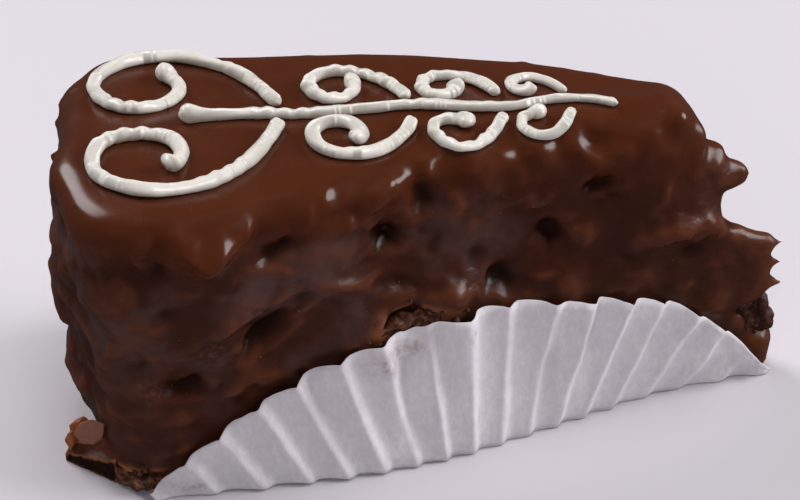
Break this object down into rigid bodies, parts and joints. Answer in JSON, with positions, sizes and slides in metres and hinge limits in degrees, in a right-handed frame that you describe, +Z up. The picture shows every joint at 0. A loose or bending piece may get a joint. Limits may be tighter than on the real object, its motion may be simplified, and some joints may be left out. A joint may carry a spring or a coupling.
{
  "type": "sachertorte slice",
  "caption": "Tall wedge of torte dipped in dark chocolate, with piped white icing scrolls on top, its pleated paper case folded up along both long sides, and broken chocolate at its foot.",
  "frame": {"origin": "bottom centre of the bounding box, on the surface the paper case rests on", "axes": "+Z up, +X from the wide rim end towards the tip, the side facing -Y is the one with the worn paper flap"},
  "size_m": [0.12, 0.0554, 0.0562],
  "materials": {
    "chocolate": "dipped dark chocolate, satin gloss with dull bloom on the sides",
    "crumb": "moist open chocolate sponge",
    "paper": "thin pleated greaseproof paper, matte, faintly stained",
    "icing": "glossy piped ivory icing",
    "broken_chocolate": "broken chocolate, satin skin and dull fractures"
  },
  "bodies": {
    "root": {"chocolate_coat": "chocolate", "sponge": "crumb", "paper_case": "paper", "icing_stem": "icing", "icing_scroll_near_1": "icing", "icing_scroll_far_1": "icing", "icing_scroll_near_2": "icing", "icing_scroll_far_2": "icing", "icing_scroll_near_3": "icing", "icing_scroll_far_3": "icing", "icing_scroll_near_4": "icing", "icing_scroll_far_4": "icing", "foot_block": "broken_chocolate", "foot_shard": "broken_chocolate", "foot_nub_a": "broken_chocolate", "foot_nub_b": "broken_chocolate"}
  },
  "joints": []
}
